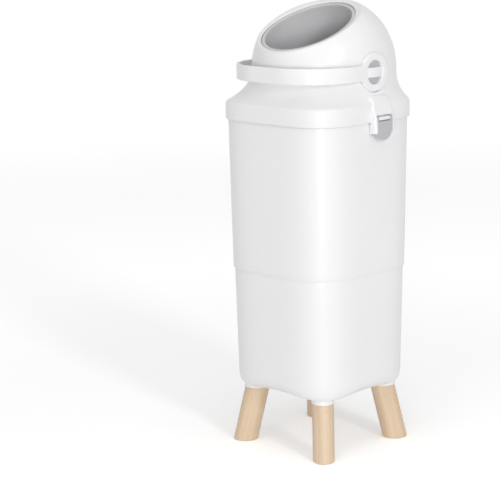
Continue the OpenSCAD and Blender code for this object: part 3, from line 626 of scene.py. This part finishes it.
for side in (-1, 1):
    knuckle_y = side * (knuckle_w / 2 + knuckle_gap + body_knuckle_w / 2) - body_knuckle_w / 2
    bracket = [(hinge_x - hinge_r * 0.98, hinge_z), (1 - sleeve_top_half, hinge_z - 1),
               (1 - sleeve_top_half, hinge_z - 26), (hinge_x - hinge_r * 0.72, hinge_z - hinge_r * 0.7)]
    sleeve_surfaces.append(prism(round_outline(bracket, 1.5, 4), knuckle_y, knuckle_y + body_knuckle_w, 1, 0.8))
    sleeve_surfaces.append(prism(circle_outline((hinge_x, hinge_z), hinge_r), knuckle_y, knuckle_y + body_knuckle_w,
                                 1, 0.6))
sleeve = make_piece("upper_sleeve_shell", [offset_y(s) for s in sleeve_surfaces], white_plastic)
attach(sleeve, "bin")
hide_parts("upper_sleeve")


# ---- Lid housing ----
# One large white moulding: a straight collar, a shoulder that sweeps up into a dome, and a round opening that leans
# forward. The latch bracket and a hinge knuckle are moulded on, and a boss in each side carries the drum's axle.
collar_half = 132.5
collar_wall = 2.0
crease_z = 611.0
pivot_z = 667.0
pivot_back = 13.0
merge_z = 664.0
shoulder_power = 1.8
dome_r = 125.0
dome_side = 115.5
dome_wall = 3.0
dome_power = 2.5
front_ease = 0.5
lean = np.radians(25.5)
opening_r = 85.5
lip_z = 83.45
lip_underside = 81.2
drum_r = 117.5
drum_slip = 0.6
hub_base = 113.9
hub_r = 33.5
axle_r = 20.4
lid_columns = 288
pivot = np.array([0.0, pivot_back, pivot_z])
tube_axis = np.array([0.0, -np.sin(lean), np.cos(lean)])
tube_back = np.array([0.0, np.cos(lean), np.sin(lean)])


def level_reach(height, radius, side):
    """Half the dome's width along the axle at a height over the pivot: side (1 - |h / radius|^2.5)^(1/2.5)."""
    return side * (1 - np.minimum(np.abs(height) / radius, 1) ** dome_power) ** (1 / dome_power)


def dome_reach(direction, radius, side):
    """Distance from the drum's pivot to the dome along unit directions: with q the part of the direction across the
    axle and x the part along it, it is ((q / radius)^p + (x / side)^p)^(-1/p). At the back p is 2.5. In front it is
    less by 0.5 sqrt(1 - (h / radius)^2) sin(turn), where cos(turn) is the point's share of its level's width."""
    across_axle = np.hypot(direction[..., 1], direction[..., 2])
    along_axle = np.abs(direction[..., 0])
    power = np.full(across_axle.shape, dome_power)
    for _ in range(24):
        reach = ((across_axle / radius) ** power + (along_axle / side) ** power) ** (-1 / power)
        height = reach * direction[..., 2]
        level_share = np.clip(reach * along_axle / np.maximum(level_reach(height, radius, side), 1e-6), 0, 1)
        front = np.sqrt(np.maximum(1 - (height / radius) ** 2, 0) * (1 - level_share ** 2)) * (direction[..., 1] < 0)
        power = 0.5 * power + 0.5 * (dome_power - front_ease * front)
    return ((across_axle / radius) ** power + (along_axle / side) ** power) ** (-1 / power)


def dome_level(radius, side, z, turn):
    """Level rings of the dome: with h the height over the pivot, x = reach cos(turn), and y lies on either side of
    the pivot by sqrt(d(x)^2 - h^2), where d(x) is the dome's radius round the axle at x."""
    height = (z - pivot_z)[:, None]
    x = level_reach(height, radius, side) * np.cos(turn)
    power = dome_power - front_ease * np.sqrt(1 - (height / radius) ** 2) * np.maximum(-np.sin(turn), 0)
    round_axle = radius * (1 - np.minimum(np.abs(x) / side, 1) ** power) ** (1 / power)
    away = np.sign(np.round(np.sin(turn), 6)) * np.sqrt(np.maximum(round_axle ** 2 - height ** 2, 0))
    return np.stack([x, pivot_back + away, height + pivot_z + 0 * x], axis=-1)


def shoulder_rows(half, radius, side, share, turn):
    """Rows that turn the square collar into the dome, share from 0 at the crease to 1 at the dome. The two plans
    are mixed by 1 - (1 - share)^1.8."""
    z = crease_z + 4 + share * (merge_z - crease_z - 4)
    square = level_rings(np.full(len(z), half), sleeve_power, z, len(turn))
    mix = (1 - (1 - share) ** shoulder_power)[:, None, None]
    return square * (1 - mix) + dome_level(radius, side, z, turn) * mix


def lip_direction(tilt_deg, turn):
    """Unit directions from the pivot at an angle from the tube's axis, and at turn round it."""
    tilt = np.radians(np.atleast_1d(tilt_deg))[:, None, None]
    ring = np.cos(turn)[None, :, None] * np.array([1.0, 0, 0]) + np.sin(turn)[None, :, None] * tube_back
    return np.cos(tilt) * tube_axis + np.sin(tilt) * ring


def soft_least(first, second, blend):
    """Smaller of two lengths, rounded where they cross: min(a, b) - blend h^2 / 4, with h = 1 - |a - b| / blend."""
    near = np.maximum(1 - np.abs(first - second) / blend, 0)
    return np.minimum(first, second) - blend * near ** 2 / 4


def dome_rows(start_deg, steps, radius, side, turn, low_ring, reach_of):
    """Rows of directions that swing from a circle round the opening to the dome's lowest ring, each pushed out to the
    surface: direction = normalised (1 - s) first + s last, with s eased for even rows."""
    first = lip_direction(start_deg, turn)[0]
    last = low_ring - pivot
    last = last / np.linalg.norm(last, axis=-1, keepdims=True)
    share = np.linspace(0, 1, steps)[:, None, None]
    angle = np.arccos(np.clip((first * last).sum(axis=-1, keepdims=True), -1, 1))
    swing = (np.sin((1 - share) * angle) * first + np.sin(share * angle) * last) / np.sin(angle)
    return pivot + swing * reach_of(swing)[..., None]


lid_turn = np.linspace(0, 2 * np.pi, lid_columns, endpoint=False)
inner_r = dome_r - dome_wall
inner_side = dome_side - dome_wall
collar_in = collar_half - collar_wall


def outer_reach(direction):
    """The dome, cut off by the lip's shallow cone: height = start + slope (radius - start radius)."""
    slope = 0.22
    along = direction @ tube_axis
    aside = np.sqrt(np.maximum(1 - along ** 2, 0))
    cone = (lip_z + 0.4 - slope * (opening_r + 1.6)) / np.maximum(along - slope * aside, 0.05)
    return soft_least(dome_reach(direction, dome_r, dome_side), cone, 3.0)


def inner_reach(direction):
    """Inside of the dome, which comes in to the drum's ball near the opening."""
    tilt = np.degrees(np.arccos(np.clip(direction @ tube_axis, -1, 1)))
    near = np.clip((55.5 - tilt) / 2.5, 0, 1)
    near = near * near * (3 - 2 * near)
    return dome_reach(direction, inner_r, inner_side) * (1 - near) + (drum_r + drum_slip) * near


def tube_ring(radius, height):
    """Ring round the tube's axis, at a height over the pivot."""
    ring = np.cos(lid_turn)[:, None] * np.array([1.0, 0, 0]) + np.sin(lid_turn)[:, None] * tube_back
    return pivot + height * tube_axis + radius * ring


lip_start = np.degrees(np.arctan2(opening_r + 1.6, lip_z + 0.4))
outer_low = dome_level(dome_r, dome_side, np.array([merge_z]), lid_turn)[0]
inner_low = dome_level(inner_r, inner_side, np.array([merge_z]), lid_turn)[0]
lip_round = np.radians(np.linspace(0, 80, 7))
lip_rows = np.array([tube_ring(opening_r + 1.5 - 1.5 * np.cos(t), lip_z - 1.1 + 1.5 * np.sin(t)) for t in lip_round])
near_lip = lip_direction(np.linspace(lip_start, 53.5, 22), lid_turn)
near_rows = pivot + near_lip * outer_reach(near_lip)[..., None]
outer_rows = dome_rows(53.5, 40, dome_r, dome_side, lid_turn, outer_low, outer_reach)[1:]
down = np.linspace(1, 0, 24)[1:]
crease = [[collar_half - 0.9, crease_z + 2.2], [collar_half - 0.35, crease_z + 0.6],
          [collar_half - 0.05, crease_z - 1.2]]
skirt = between((collar_half, sleeve_power, crease_z - 3), (collar_half, sleeve_power, collar_z + 0.8), 8)
lower_edge = [[collar_half - 0.25, collar_z + 0.25], [collar_half - 0.8, collar_z], [collar_in + 0.5, collar_z],
              [collar_in, collar_z + 0.5]]
collar_up = between((collar_in, sleeve_power, collar_z + 2), (collar_in, sleeve_power, crease_z - 3), 6)
inside_near = lip_direction(np.linspace(57, lip_start - 0.4, 20), lid_turn)
lid_rings = np.concatenate([
    lip_rows, near_rows, outer_rows,
    shoulder_rows(collar_half - 2, dome_r, dome_side, down, lid_turn),
    level_rings(*np.array([[h, sleeve_power, z] for h, z in crease]).T, lid_columns),
    level_rings(*skirt.T, lid_columns),
    level_rings(*np.array([[h, sleeve_power, z] for h, z in lower_edge]).T, lid_columns),
    level_rings(*collar_up.T, lid_columns),
    shoulder_rows(collar_in - 1.5, inner_r, inner_side, np.linspace(0.08, 1, 16), lid_turn),
    dome_rows(57, 30, inner_r, inner_side, lid_turn, inner_low, inner_reach)[::-1][1:-1],
    pivot + inside_near * inner_reach(inside_near)[..., None],
    tube_ring(opening_r, lip_underside)[None]])


def join_solids(piece, tools, operation):
    """Adds or cuts solids on a piece: each tool is a surface made into its own closed mesh for the purpose."""
    for number, surface in enumerate(tools):
        tool = make_piece(f"{piece.name}_tool_{number}", [surface], piece.data.materials[0])
        step = piece.modifiers.new("join", "BOOLEAN")
        step.object = tool
        step.operation = operation
        step.solver = "MANIFOLD"
        finished = bpy.data.meshes.new_from_object(piece.evaluated_get(bpy.context.evaluated_depsgraph_get()))
        piece.modifiers.clear()
        piece.data = finished
        bpy.data.objects.remove(tool)
    piece.data.polygons.foreach_set("use_smooth", [True] * len(piece.data.polygons))
    piece.data.set_sharp_from_angle(angle=np.radians(38))


def drum_across(radius, x0, x1, steps=96):
    """Round bar along the drum's axle, from x0 to x1."""
    return prism(circle_outline((pivot_back, pivot_z), radius, steps), x0, x1, 0, 0.01)


latch_y = 13.0
window_half = 20.3
cheek_t = 7.0
cheek_z = 566.0
window_z = 597.0
latch_top_z = 627.0
bracket_half = window_half + cheek_t
pin_x = 138.2
pin_z = 590.5
knuckle_r = 3.6
barrel_half = 14.1
pin_bore_r = 1.55
hinge_bore_r = 2.6
seat_in, seat_out = 89.4, 94.4
seat_low, seat_high = 70.3, 76.6
cut_past = 30.0
boss_in, boss_out = 99.5, 113.0
bore_in, bore_out = 97, 160
behind_x = 129.6
ledge_back = 6.5


def bracket_solid():
    """Wedge that stands off the collar round the latch, with a small ledge on top. Each level ring is a rounded box
    rooted in the wall. Its face stands out by d(z) less 6.5 s^2, and its flanks draw in by 1.6 + 5 t^1.2: s is the
    share of the way from the crease to the top, and t of the way from over the collar's foot to the top."""
    levels = np.array([[latch_top_z + 2, -2.5], [latch_top_z + 1.4, 0.6], [latch_top_z, 2.4],
                       [latch_top_z - 5, 2.9], [crease_z, 3.6], [collar_z + 20, 6.2], [collar_z + 14, 8.6],
                       [collar_z + 8, 10.2], [collar_z, 11.2], [collar_z - 8, 11.5], [cheek_z + 4, 11.5],
                       [cheek_z + 1.2, 11.2], [cheek_z, 10.2]])
    z = np.concatenate([np.linspace(levels[k, 0], levels[k + 1, 0], 4)[:-1] for k in range(len(levels) - 1)]
                       + [[cheek_z]])
    stand_off = np.interp(-z, -levels[:, 0], levels[:, 1])
    face = collar_half + stand_off
    over = np.clip((z - crease_z) / (latch_top_z - crease_z), 0, 1.2)
    face = face - ledge_back * over ** 2
    slope = shoulder_rows(collar_half, dome_r, dome_side, np.linspace(0, 1, 24), lid_turn)[:, 0]
    back = np.where(z >= collar_z, np.interp(z, slope[:, 2], slope[:, 0]) - 1 - 2.2 * np.minimum(over, 1), behind_x)
    slim = 1.6 + 5.0 * np.clip((z - collar_z - 8) / 36, 0, 1) ** 1.2
    rings = []
    for k in range(len(z)):
        half = bracket_half - slim[k]
        outline = [(back[k], latch_y - half), (face[k] - 1.5, latch_y - half + 0.5), (face[k], latch_y - half + 2.5),
                   (face[k], latch_y + half - 2.5), (face[k] - 1.5, latch_y + half - 0.5), (back[k], latch_y + half)]
        ring = round_outline(outline, 2.2, 6)
        rings.append(np.column_stack([ring, np.full(len(ring), z[k])]))
    return loft(np.array(rings), "capped")


def block(x0, x1, y0, y1, z0, z1, radius):
    """Upright box with rounded vertical corners."""
    outline = round_outline([(x0, y0), (x1, y0), (x1, y1), (x0, y1)], radius, 5)
    return prism(outline, z0, z1, 2, 0.01)


housing = make_piece("lid_housing_shell", [offset_y(loft(lid_rings, "looped"))], white_plastic)
knuckle = [(hinge_x - hinge_r, hinge_z), (hinge_x + hinge_r, hinge_z), (1 - collar_half, collar_z + 1),
           (1 - collar_half, collar_z + 22)]
additions = [prism(round_outline(knuckle, 1.2, 4), -knuckle_w / 2, knuckle_w / 2, 1, 0.8),
             prism(circle_outline((hinge_x, hinge_z), hinge_r), -knuckle_w / 2, knuckle_w / 2, 1, 0.6)]
additions += [drum_across(axle_r + 5, *sorted((side * boss_in, side * boss_out))) for side in (-1, 1)]
additions += [bracket_solid()]
join_solids(housing, [offset_y(s) for s in additions], "UNION")
window = (latch_y - window_half, latch_y + window_half)
cuts = [block(collar_half + 1.2, collar_half + cut_past, *window, collar_z, window_z, 1.5),
        block(behind_x - 0.2, collar_half + cut_past, *window, cheek_z - 10, collar_z + 0.01, 1.5)]
cuts += [drum_across(axle_r + 0.05, *sorted((side * bore_in, side * bore_out))) for side in (-1, 1)]
cuts += [drum_across(hub_r + 0.4, *sorted((side * hub_base, side * bore_out))) for side in (-1, 1)]
join_solids(housing, [offset_y(s) for s in cuts], "DIFFERENCE")
web = round_outline([(collar_in, pin_z - 2), (pin_x, pin_z - 2), (pin_x, pin_z + 2), (collar_in, pin_z + 2)], 0.4, 3)
barrel = [prism(web, latch_y - barrel_half, latch_y + barrel_half, 1, 0.3),
          prism(circle_outline((pin_x, pin_z), knuckle_r), latch_y - barrel_half, latch_y + barrel_half, 1, 0.5)]
join_solids(housing, [offset_y(s) for s in barrel], "UNION")
seal_seat = [tube_ring(radius, height) for radius, height in (
    (seat_in, seat_low), (seat_out, seat_low), (seat_out, seat_high), (seat_in, seat_high))]
pin_bore = prism(circle_outline((pin_x, pin_z), pin_bore_r), window[0] - 5, window[1] + 5, 1, 0.01)
hinge_bore = prism(circle_outline((hinge_x, hinge_z), hinge_bore_r), -knuckle_w / 2 - 4, knuckle_w / 2 + 4, 1, 0.01)
bores = [pin_bore, hinge_bore, loft(np.array(seal_seat), "looped")]
join_solids(housing, [offset_y(s) for s in bores], "DIFFERENCE")
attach(housing, "lid")
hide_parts("lid_housing")


# ---- Lid base and seals ----
# A flat plate with a round throat closes the lid from below. Soft dark seals run round the throat, the sleeve's rim
# and the opening, and keep the smell in.
finish_node("lid_base", white_plastic)
seal_rubber = speckled("seal_rubber", (0.12, 0.12, 0.13), 0.62, 0.0, 90, 0.12, 0.00005)
for seal in ("rim_gasket", "throat_seal", "opening_seal", "piston_ring"):
    finish_node(seal, seal_rubber)


# ---- Drum ----
# Two half balls of pale plastic are screwed together round a smooth grey tube. A pale ring caps each end of the tube,
# and the drum turns over on two stub axles.
pale_plastic = satin_plastic("pale_plastic", (0.62, 0.62, 0.60), 0.32, 0.01)
grey_plastic = satin_plastic("grey_plastic", (0.50, 0.50, 0.52), 0.38, 0.01)
tube_plastic = satin_plastic("tube_plastic", (0.60, 0.60, 0.61), 0.4, 0.01)
for half in ("drum_upper_half", "drum_lower_half"):
    finish_node(half, pale_plastic)
tube_r = 80.0
tube_wall = 2.4
tube_half = 78.85
rim_outer = 84.3
rim_top = 81.85
rim_h = 5.0
rim_lip = 2.0


def turned(profile, columns=192):
    """Solid of revolution round the tube's axis from a closed profile of (radius, height over the pivot) points."""
    profile = np.array(profile, dtype=float)
    turn = np.linspace(0, 2 * np.pi, columns, endpoint=False)
    ring = np.cos(turn)[:, None] * np.array([1.0, 0, 0]) + np.sin(turn)[:, None] * tube_back
    rings = pivot + profile[:, 1, None, None] * tube_axis + profile[:, 0, None, None] * ring[None]
    return loft(placed(rings), "looped")


inner_wall = [(tube_r, z) for z in np.linspace(-tube_half, tube_half, 12)]
outer_wall = [(tube_r + tube_wall, z) for z in np.linspace(tube_half, -tube_half, 12)]
tube = make_piece("drum_tube_liner", [turned(inner_wall + outer_wall)], tube_plastic)
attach(tube, "drum")
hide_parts("drum_tube")

rim_inner = tube_r - rim_lip
rim_foot = rim_top - rim_h
rim_profile = [(rim_inner, rim_foot), (tube_r - 0.05, rim_foot), (tube_r - 0.05, tube_half + 0.05),
               (tube_r + tube_wall + 0.05, tube_half + 0.05), (tube_r + tube_wall + 0.05, rim_foot),
               (rim_outer, rim_foot)]
edge_turn = np.radians(np.linspace(0, 90, 7))
rim_profile += [(rim_outer - 1.8 + 1.8 * np.cos(t), rim_top - 1.1 + 1.8 * np.sin(t)) for t in edge_turn]
rim_profile += [(rim_inner + 1.8 - 1.8 * np.cos(t), rim_top - 1.1 + 1.8 * np.sin(t)) for t in edge_turn[::-1]]
for rim_name, end in (("tube_rim_a", 1), ("tube_rim_b", -1)):
    rim = make_piece(f"{rim_name}_ring", [turned([(r, end * z) for r, z in rim_profile])], pale_plastic)
    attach(rim, "drum")
    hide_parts(rim_name)
for axle in ("axle_left", "axle_right"):
    finish_node(axle, grey_plastic)


# ---- Handle ----
# A flat white band bent round the front of the lid, with a round hub over each axle. A key bar across the hub's hole
# sits in the axle's slot, so that lifting the handle turns the drum.
handle_x = 121.0
handle_reach = 145.0
band_h = 27.0
band_t = 5.0
bend_r = 94.0
key_h = 17.0
hub_gap = 0.4


def band_surface():
    """A rounded flat section carried along a flat line: straight from one hub, round a bend, across the front and
    back. The section's point is the line's point plus a across the heading and b upwards."""
    mid_x = handle_x - band_t / 2
    mid_y = band_t / 2 - handle_reach
    radius = bend_r - band_t / 2
    bend = np.radians(np.linspace(0, 90, 40))
    straight = np.linspace(0, mid_y + radius, 14)[:-1]
    front = np.linspace(mid_x - radius, radius - mid_x, 12)[1:-1]
    right_x = np.concatenate([np.full(13, mid_x), mid_x - radius + radius * np.cos(bend)])
    right_y = np.concatenate([straight, mid_y + radius - radius * np.sin(bend)])
    x = np.concatenate([right_x, front, -right_x[::-1]])
    y = np.concatenate([right_y, np.full(10, mid_y), right_y[::-1]])
    line = np.stack([x, y, np.zeros_like(x)], axis=1)
    ahead_of = np.gradient(line, axis=0)
    ahead_of /= np.linalg.norm(ahead_of, axis=1)[:, None]
    aside = np.stack([-ahead_of[:, 1], ahead_of[:, 0], np.zeros(len(x))], axis=1)
    a, b = band_t / 2, band_h / 2
    section = round_outline([(-a, -b), (a, -b), (a, b), (-a, b)], 1.7, 8)
    rings = line[:, None] + section[None, :, :1] * aside[:, None] + section[None, :, 1:] * up
    return loft(rings + pivot, "capped")


def hub_surface(side):
    """Turned round the axle: a flat face, a rim rounded by an arc, and a small round at the hole."""
    x0 = hub_base + hub_gap
    hole = axle_r + 0.1
    rim = np.radians(np.linspace(0, 90, 12))
    eye = np.radians(np.linspace(90, 180, 6))
    profile = [(hole, x0), (hub_r - 0.4, x0), (hub_r, x0 + 0.4)]
    profile += [(hub_r - 3.2 + 3.2 * np.cos(t), handle_x - 3.2 + 3.2 * np.sin(t)) for t in rim]
    profile += [(hole + 0.8 + 0.8 * np.cos(t), handle_x - 0.8 + 0.8 * np.sin(t)) for t in eye]
    profile = np.array(profile)
    turn = np.linspace(0, 2 * np.pi, 144, endpoint=False)
    rings = np.stack([np.broadcast_to(side * profile[:, 1, None], (len(profile), 144)),
                      profile[:, 0, None] * np.cos(turn), profile[:, 0, None] * np.sin(turn)], axis=-1)
    return loft(rings + pivot, "looped")


def hub_fillet(side, face):
    """Web that fills the corner between the band's edge and the hub with a hollow curve of radius 10."""
    radius = 10.0
    b = band_h / 2
    v = b + radius
    u = np.sqrt((hub_r + radius) ** 2 - v ** 2)
    arc = np.linspace(-np.pi / 2, -np.arctan2(v, u), 12)
    outline = [(-20, b - 4), (-u, b - 4)] + [(-u + radius * np.cos(t), v + radius * np.sin(t)) for t in arc]
    outline = np.array(outline) * np.array([1, face])
    outline = outline + np.array([pivot_back, pivot_z])
    x0, x1 = sorted((side * (handle_x - band_t + 0.3), side * (handle_x - 0.3)))
    return prism(outline, x0, x1, 0, 0.3)


handle = make_piece("bail_handle", [offset_y(band_surface())], white_plastic)
hub_parts = [hub_surface(side) for side in (-1, 1)]
hub_parts += [hub_fillet(side, face) for side in (-1, 1) for face in (-1, 1)]
join_solids(handle, [offset_y(s) for s in hub_parts], "UNION")
join_solids(handle, [offset_y(drum_across(axle_r + 0.1, *sorted((side * 100, side * 140)))) for side in (-1, 1)],
            "DIFFERENCE")
key_parts = []
key_swell = np.linspace(-1, 1, 17)
for side in (-1, 1):
    key_outline = [(side * (hub_base + hub_gap), pivot_back + (axle_r + 0.8) * y) for y in (1, -1)]
    key_outline += [(side * (handle_x - 2.5 + 3.5 * (1 - y * y)), pivot_back + (axle_r + 0.8) * y) for y in key_swell]
    key_parts.append(prism(key_outline, pivot_z - key_h / 2, pivot_z + key_h / 2, 2, 1.2))
join_solids(handle, [offset_y(s) for s in key_parts], "UNION")
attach(handle, "drum")
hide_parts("handle")


# ---- Piston ----
# A weighted cup slides in the tube. When the drum is turned over it slides down and pushes the nappy out.
for part in ("piston", "piston_cover"):
    finish_node(part, grey_plastic)
cast_iron = speckled("cast_iron", (0.2, 0.2, 0.21), 0.6, 1.0, 160, 0.15, 0.0001)
finish_node("piston_weight", cast_iron)


# ---- Latch lever ----
# A grey lever with a half round foot hangs by two arms from a steel pin, one arm at each end of the housing's barrel.
# Its nose catches under the ledge on the sleeve.
lever_half = 19.5
lever_face = 142.0
lever_t = 4.5
lever_bottom_z = 553.5
lever_top_z = 586.0
lever_arm = 5.0
nose_w = 20.0


def lever_outline():
    """The lever's plate seen along X: a half circle below and straight sides."""
    turn = np.linspace(np.pi, 2 * np.pi, 49)
    foot = np.stack([lever_half * np.cos(turn), lever_bottom_z + lever_half + lever_half * np.sin(turn)], axis=1)
    shoulders = round_outline([(lever_half, lever_bottom_z + lever_half + 2), (lever_half, lever_top_z),
                               (-lever_half, lever_top_z), (-lever_half, lever_bottom_z + lever_half + 2)], 0.8, 4)
    return np.concatenate([foot, shoulders[3:-3]]) + np.array([latch_y, 0.0])


lever_parts = [prism(lever_outline(), lever_face - lever_t, lever_face, 0, 0.7)]
for side in (-1, 1):
    arm_y0, arm_y1 = sorted((latch_y + side * lever_half, latch_y + side * (lever_half - lever_arm)))
    arm = round_outline([(lever_face - lever_t, lever_top_z - 2), (lever_face, lever_top_z - 2), (lever_face, pin_z),
                         (lever_face - lever_t, pin_z)], 0.7, 4)
    lever_parts.append(prism(arm, arm_y0, arm_y1, 1, 0.7))
    lever_parts.append(prism(circle_outline((pin_x, pin_z), knuckle_r), arm_y0, arm_y1, 1, 0.5))
nose = [(133.4, 566), (lever_face - 1, 560), (lever_face - 1, 570), (133.4, 569.5)]
lever_parts.append(prism(round_outline(nose, 0.6, 4), latch_y - nose_w / 2, latch_y + nose_w / 2, 1, 0.6))
lever = make_piece("latch_lever_plate", [offset_y(lever_parts[0])], grey_plastic)
join_solids(lever, [offset_y(s) for s in lever_parts[1:]], "UNION")
join_solids(lever, [offset_y(pin_bore)], "DIFFERENCE")
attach(lever, "latch")
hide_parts("latch_lever")
